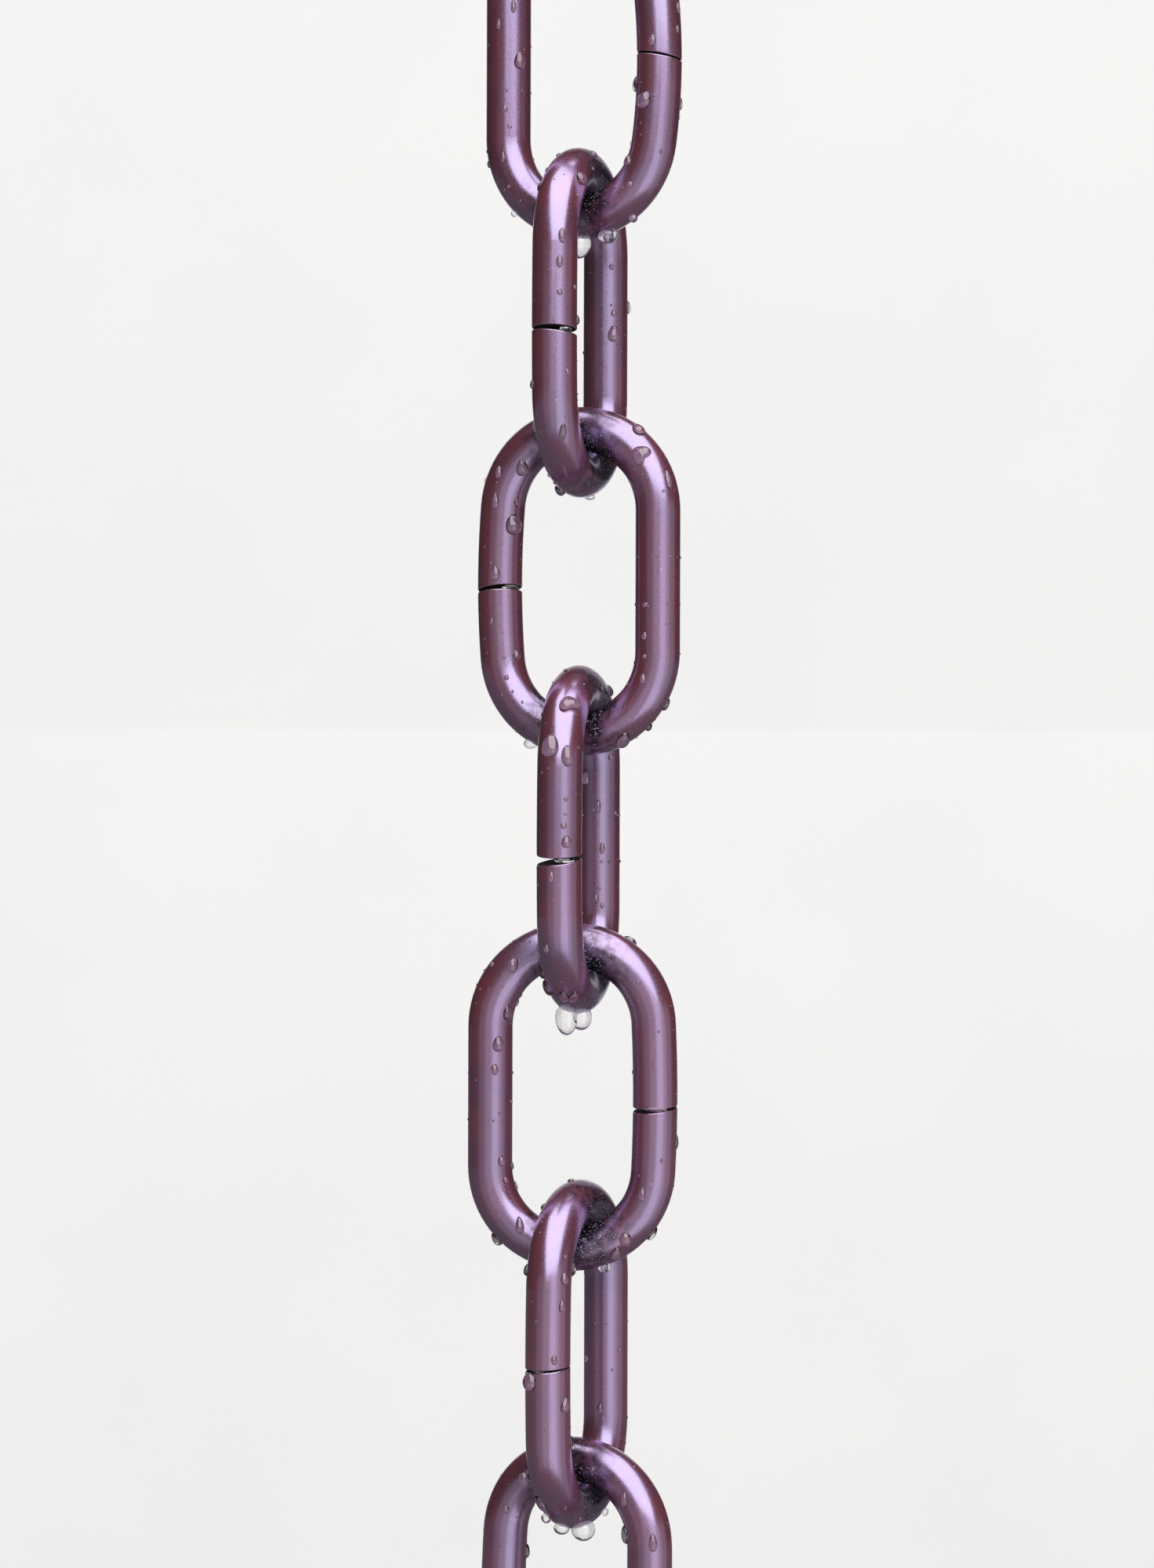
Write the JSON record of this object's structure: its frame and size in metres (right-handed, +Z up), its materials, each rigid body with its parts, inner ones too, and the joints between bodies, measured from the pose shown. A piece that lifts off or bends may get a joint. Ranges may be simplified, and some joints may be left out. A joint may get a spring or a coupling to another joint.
{
  "type": "rain chain",
  "caption": "Length of rain chain: open oval links of round metal bar, each threaded on the one above, hung from a gutter so that roof water runs down it.",
  "frame": {"origin": "inside of the top link's upper bend, where a gutter hook carries the chain", "axes": "+Z up along the hanging chain; the top link lies about along X, the next about along Y, and so on"},
  "size_m": [0.0399, 0.0385, 0.3469],
  "materials": {
    "link_finish": "dark plum-brown bronze coat on aluminium bar, smooth and glossy, wet"
  },
  "bodies": {
    "top_link": {"top_link": "link_finish"},
    "second_link": {"second_link": "link_finish"},
    "third_link": {"third_link": "link_finish"},
    "fourth_link": {"fourth_link": "link_finish"},
    "fifth_link": {"fifth_link": "link_finish"},
    "sixth_link": {"sixth_link": "link_finish"},
    "bottom_link": {"bottom_link": "link_finish"}
  },
  "joints": [
    {"name": "second_link_swing", "type": "hinge", "parent": "top_link", "child": "second_link", "pos_m": [0, 0, -0.0516], "axis": [0.9877, -0.1564, 0], "range_deg": [-120, 120]},
    {"name": "third_link_swing", "type": "hinge", "parent": "second_link", "child": "third_link", "pos_m": [0, 0, -0.0988], "axis": [-0.0087, 1, 0], "range_deg": [-120, 120]},
    {"name": "fourth_link_swing", "type": "hinge", "parent": "third_link", "child": "fourth_link", "pos_m": [0, 0, -0.146], "axis": [-0.9998, 0.0175, 0], "range_deg": [-120, 120]},
    {"name": "fifth_link_swing", "type": "hinge", "parent": "fourth_link", "child": "fifth_link", "pos_m": [0, 0, -0.1932], "axis": [0.0872, -0.9962, 0], "range_deg": [-120, 120]},
    {"name": "sixth_link_swing", "type": "hinge", "parent": "fifth_link", "child": "sixth_link", "pos_m": [0, 0, -0.24024], "axis": [0.9781, 0.2079, 0], "range_deg": [-120, 120]},
    {"name": "bottom_link_swing", "type": "hinge", "parent": "sixth_link", "child": "bottom_link", "pos_m": [0, 0, -0.28738], "axis": [-0.0349, -0.9994, 0], "range_deg": [-120, 120]}
  ]
}
